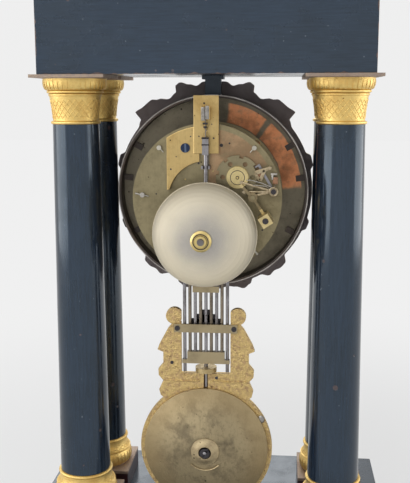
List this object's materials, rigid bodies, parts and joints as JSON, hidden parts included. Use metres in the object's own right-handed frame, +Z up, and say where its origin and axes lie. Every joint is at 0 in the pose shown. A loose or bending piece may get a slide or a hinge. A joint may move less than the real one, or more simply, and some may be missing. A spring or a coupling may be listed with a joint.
{
  "type": "portico mantel clock",
  "caption": "Portico mantel clock: columns on a wooden base carry an entablature, with a hung round dial, geared striking movement, bell and swinging gridiron pendulum.",
  "frame": {"origin": "centre of the footprint, on the surface that the feet stand on", "axes": "+Z up, -Y towards the dial side, +X to the right of someone who reads the dial"},
  "size_m": [0.255, 0.163, 0.442],
  "materials": {
    "ebonised_wood": "gloss polish",
    "red_wood": "worn polish",
    "gilt_brass": "gilt casting",
    "aged_brass": "satin",
    "bright_brass": "satin",
    "steel": "satin",
    "blued_steel": "blued",
    "dark_metal": "satin",
    "copper_plate": "aged",
    "bell_metal": "polished",
    "enamel": "gloss",
    "clear_glass": "clear"
  },
  "bodies": {
    "case": {"base_block": "ebonised_wood", "base_feet": "ebonised_wood", "column_blocks": "red_wood", "column_base_front_left": "gilt_brass", "column_base_front_right": "gilt_brass", "column_base_rear_left": "gilt_brass", "column_base_rear_right": "gilt_brass", "column_front_left": "ebonised_wood", "column_front_right": "ebonised_wood", "column_rear_left": "ebonised_wood", "column_rear_right": "ebonised_wood", "capital_front_left": "gilt_brass", "capital_front_right": "gilt_brass", "capital_rear_left": "gilt_brass", "capital_rear_right": "gilt_brass", "entablature": "ebonised_wood", "cornice": "ebonised_wood", "hanger_stem": "dark_metal", "drum_ring": "dark_metal", "false_plate": "copper_plate", "dial": "enamel", "bezel": "gilt_brass", "front_plate": "aged_brass", "back_plate": "aged_brass", "pillars": "aged_brass", "back_cock": "bright_brass", "bell_stand": "steel", "bell": "bell_metal"},
    "glass_door": {"glass_ring": "gilt_brass", "dial_glass": "clear_glass"},
    "third": {"third_wheel": "bright_brass"},
    "centre": {"centre_wheel": "bright_brass", "cannon_pinion": "steel", "minute_hand": "blued_steel"},
    "intermediate": {"intermediate_wheel": "bright_brass"},
    "going_drum": {"going_barrel": "bright_brass"},
    "escape": {"escape_wheel": "bright_brass"},
    "minute_work": {"minute_wheel": "bright_brass"},
    "hour": {"hour_wheel": "bright_brass", "hour_hand": "blued_steel"},
    "going_winder": {"going_arbor": "steel"},
    "going_pawl": {"going_click": "steel"},
    "warning": {"warning_wheel": "bright_brass"},
    "fan": {"fly": "bright_brass"},
    "locking": {"locking_wheel": "bright_brass"},
    "pin": {"pin_wheel": "bright_brass"},
    "second": {"second_wheel": "bright_brass", "count_wheel": "bright_brass"},
    "strike_drum": {"strike_barrel": "bright_brass"},
    "strike_winder": {"strike_arbor": "steel"},
    "strike_pawl": {"strike_click": "steel"},
    "lever": {"strike_lever": "steel"},
    "hammer_arm": {"hammer": "bright_brass"},
    "pendulum": {"suspension": "steel", "gridiron_steel": "steel", "gridiron_brass": "bright_brass", "pendulum_frame": "gilt_brass", "bob": "aged_brass"},
    "anchor": {"pallet_anchor": "steel"},
    "nut": {"rating_nut": "gilt_brass"}
  },
  "joints": [
    {"name": "third_spin", "type": "hinge", "parent": "case", "child": "third", "pos_m": [-0.004, 0.01, 0.296], "axis": [0, 1, 0], "continuous": true},
    {"name": "centre_spin", "type": "hinge", "parent": "case", "child": "centre", "pos_m": [0, 0.01, 0.278], "axis": [0, 1, 0], "continuous": true},
    {"name": "intermediate_spin", "type": "hinge", "parent": "case", "child": "intermediate", "pos_m": [0.014, 0.01, 0.2906], "axis": [0, 1, 0], "continuous": true},
    {"name": "going_drum_spin", "type": "hinge", "parent": "case", "child": "going_drum", "pos_m": [0.023, 0.01, 0.27], "axis": [0, 1, 0], "continuous": true},
    {"name": "escape_spin", "type": "hinge", "parent": "case", "child": "escape", "pos_m": [0, 0.01, 0.31085], "axis": [0, 1, 0], "continuous": true},
    {"name": "minute_work_spin", "type": "hinge", "parent": "case", "child": "minute_work", "pos_m": [0, 0.01, 0.264], "axis": [0, 1, 0], "continuous": true},
    {"name": "hour_spin", "type": "hinge", "parent": "case", "child": "hour", "pos_m": [0, 0.01, 0.278], "axis": [0, 1, 0], "continuous": true},
    {"name": "warning_spin", "type": "hinge", "parent": "case", "child": "warning", "pos_m": [-0.0242, 0.01, 0.3037], "axis": [0, 1, 0], "continuous": true},
    {"name": "fan_spin", "type": "hinge", "parent": "case", "child": "fan", "pos_m": [-0.0183, 0.01, 0.3062], "axis": [0, 1, 0], "continuous": true},
    {"name": "locking_spin", "type": "hinge", "parent": "case", "child": "locking", "pos_m": [-0.03, 0.01, 0.29903], "axis": [0, 1, 0], "continuous": true},
    {"name": "pin_spin", "type": "hinge", "parent": "case", "child": "pin", "pos_m": [-0.0289, 0.01, 0.291], "axis": [0, 1, 0], "continuous": true},
    {"name": "second_spin", "type": "hinge", "parent": "case", "child": "second", "pos_m": [-0.02, 0.01, 0.2923], "axis": [0, 1, 0], "continuous": true},
    {"name": "strike_drum_spin", "type": "hinge", "parent": "case", "child": "strike_drum", "pos_m": [-0.023, 0.01, 0.27], "axis": [0, 1, 0], "continuous": true},
    {"name": "going_winding", "type": "hinge", "parent": "case", "child": "going_winder", "pos_m": [0.023, 0.01, 0.27], "axis": [0, 1, 0], "range_deg": [0, 1800]},
    {"name": "strike_winding", "type": "hinge", "parent": "case", "child": "strike_winder", "pos_m": [-0.023, 0.01, 0.27], "axis": [0, 1, 0], "range_deg": [0, 1800]},
    {"name": "going_pawl_lift", "type": "hinge", "parent": "case", "child": "going_pawl", "pos_m": [0.0156, 0.01, 0.2774], "axis": [0, -1, 0], "range_deg": [0, 10], "stiffness_Nm_per_rad": 0.002},
    {"name": "strike_pawl_lift", "type": "hinge", "parent": "case", "child": "strike_pawl", "pos_m": [-0.0304, 0.01, 0.2774], "axis": [0, -1, 0], "range_deg": [0, 10], "stiffness_Nm_per_rad": 0.002},
    {"name": "lever_lift", "type": "hinge", "parent": "case", "child": "lever", "pos_m": [-0.043, 0.01, 0.2837], "axis": [0, -1, 0], "range_deg": [0, 8]},
    {"name": "hammer_swing", "type": "hinge", "parent": "case", "child": "hammer_arm", "pos_m": [-0.03, 0.01, 0.28], "axis": [0, 1, 0], "range_deg": [-6, 12], "stiffness_Nm_per_rad": 0.1},
    {"name": "pendulum_swing", "type": "hinge", "parent": "case", "child": "pendulum", "pos_m": [0, 0.01, 0.322], "axis": [0, 1, 0], "range_deg": [-3.5, 3.5]},
    {"name": "anchor_rock", "type": "hinge", "parent": "case", "child": "anchor", "pos_m": [0, 0.01, 0.322], "axis": [0, 1, 0], "range_deg": [-3.5, 3.5]},
    {"name": "nut_turn", "type": "hinge", "parent": "pendulum", "child": "nut", "pos_m": [0, 0.0376, 0.168], "axis": [0, 0, 1], "continuous": true},
    {"name": "door_swing", "type": "hinge", "parent": "case", "child": "glass_door", "pos_m": [0.0605, -0.04005, 0.278], "axis": [0, 0, 1], "range_deg": [0, 110]}
  ],
  "couplings": [
    {"joint": "centre_spin", "follows": "third_spin", "ratio": -0.083333},
    {"joint": "intermediate_spin", "follows": "third_spin", "ratio": 0.013889},
    {"joint": "going_drum_spin", "follows": "third_spin", "ratio": -0.0017361},
    {"joint": "escape_spin", "follows": "third_spin", "ratio": -12},
    {"joint": "minute_work_spin", "follows": "third_spin", "ratio": 0.027778},
    {"joint": "hour_spin", "follows": "third_spin", "ratio": -0.0069444},
    {"joint": "fan_spin", "follows": "warning_spin", "ratio": -7},
    {"joint": "locking_spin", "follows": "warning_spin", "ratio": -0.125},
    {"joint": "pin_spin", "follows": "warning_spin", "ratio": 0.015625},
    {"joint": "second_spin", "follows": "warning_spin", "ratio": -0.0015625},
    {"joint": "strike_drum_spin", "follows": "warning_spin", "ratio": 0.00019531},
    {"joint": "anchor_rock", "follows": "pendulum_swing", "ratio": 1}
  ]
}
